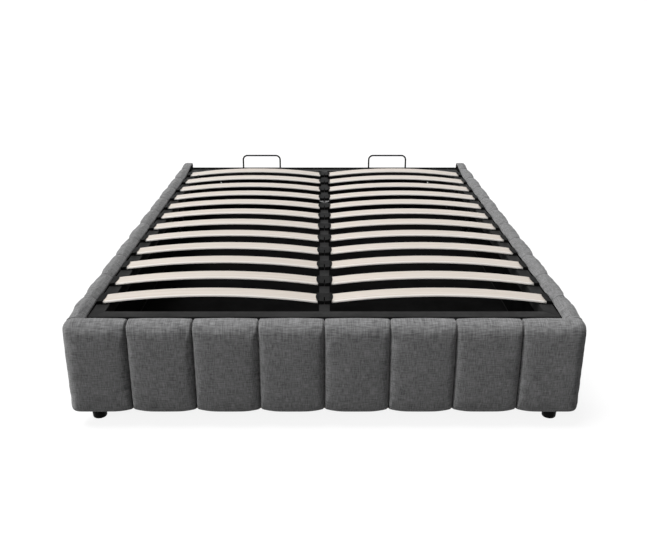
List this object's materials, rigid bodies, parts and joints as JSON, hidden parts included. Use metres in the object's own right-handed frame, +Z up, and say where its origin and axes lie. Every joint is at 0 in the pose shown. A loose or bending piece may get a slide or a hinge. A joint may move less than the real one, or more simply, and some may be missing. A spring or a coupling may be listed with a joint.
{
  "type": "ottoman storage bed",
  "caption": "Upholstered double bed base with vertical sewn channels and a sprung slatted platform that tilts up at the foot end over a storage floor.",
  "frame": {"origin": "on the floor under the middle of the bed's outline", "axes": "+X across the bed to the right seen from the foot end, +Y along the bed to the head end, +Z up"},
  "size_m": [1.501, 2.044, 0.4085],
  "materials": {
    "upholstery": "heather grey woven, matte",
    "board": "raw particle board",
    "black_board": "covered in black lining, matte",
    "batten": "planed pine",
    "floor_board": "black lined hardboard, matte",
    "slat": "pale laminated birch, satin",
    "cap": "black moulded, matte",
    "tube": "black powder coat, satin",
    "bracket": "black powder coat, satin",
    "zinc": "bright zinc",
    "wire": "dark grey, satin",
    "foot": "black moulded, satin",
    "strut": "black, gloss",
    "rod": "bright"
  },
  "bodies": {
    "base": {"side_rail_board_left": "board", "side_rail_board_right": "board", "foot_rail_board": "board", "head_rail_board": "black_board", "side_rail_cover_left": "upholstery", "side_rail_cover_right": "upholstery", "foot_rail_cover": "upholstery", "corner_brackets": "bracket", "feet": "foot", "floor_battens": "batten", "floor_panels": "floor_board", "gear_plate_left": "bracket", "gear_plate_right": "bracket", "pivot_pins": "zinc"},
    "platform": {"side_tube_left": "tube", "side_tube_right": "tube", "foot_tube": "tube", "head_tube": "tube", "centre_bar_foot": "tube", "centre_bar_head": "tube", "centre_bar_joiner": "tube", "end_caps_left": "cap", "end_caps_right": "cap", "centre_caps": "cap", "mattress_stop_left": "wire", "mattress_stop_right": "wire", "lift_rail_left": "tube", "lift_rail_right": "tube", "slat_01_left": "slat", "slat_01_right": "slat", "slat_02_left": "slat", "slat_02_right": "slat", "slat_03_left": "slat", "slat_03_right": "slat", "slat_04_left": "slat", "slat_04_right": "slat", "slat_05_left": "slat", "slat_05_right": "slat", "slat_06_left": "slat", "slat_06_right": "slat", "slat_07_left": "slat", "slat_07_right": "slat", "slat_08_left": "slat", "slat_08_right": "slat", "slat_09_left": "slat", "slat_09_right": "slat", "slat_10_left": "slat", "slat_10_right": "slat", "slat_11_left": "slat", "slat_11_right": "slat", "slat_12_left": "slat", "slat_12_right": "slat"},
    "strut_left": {"strut_cylinder_left": "strut"},
    "strut_right": {"strut_cylinder_right": "strut"},
    "rod_left": {"strut_rod_left": "rod", "rod_pin_left": "zinc"},
    "rod_right": {"strut_rod_right": "rod", "rod_pin_right": "zinc"}
  },
  "joints": [
    {"name": "platform_lift", "type": "hinge", "parent": "base", "child": "platform", "pos_m": [0, 0.638, 0.2685], "axis": [-1, 0, 0], "range_deg": [0, 34]},
    {"name": "strut_swing_left", "type": "hinge", "parent": "base", "child": "strut_left", "pos_m": [-0.673, 0.56, 0.1085], "axis": [-1, 0, 0], "range_deg": [0, 24.3]},
    {"name": "strut_slide_left", "type": "slide", "parent": "strut_left", "child": "rod_left", "axis": [0, -0.7429, 0.6694], "range_m": [0, 0.0942]},
    {"name": "strut_swing_right", "type": "hinge", "parent": "base", "child": "strut_right", "pos_m": [0.673, 0.56, 0.1085], "axis": [-1, 0, 0], "range_deg": [0, 24.3]},
    {"name": "strut_slide_right", "type": "slide", "parent": "strut_right", "child": "rod_right", "axis": [0, -0.7429, 0.6694], "range_m": [0, 0.0942]}
  ],
  "couplings": [
    {"joint": "strut_swing_left", "follows": "platform_lift", "ratio": 0.7131},
    {"joint": "strut_slide_left", "follows": "platform_lift", "m_per_rad": 0.15863},
    {"joint": "strut_swing_right", "follows": "platform_lift", "ratio": 0.7131},
    {"joint": "strut_slide_right", "follows": "platform_lift", "m_per_rad": 0.15863}
  ]
}
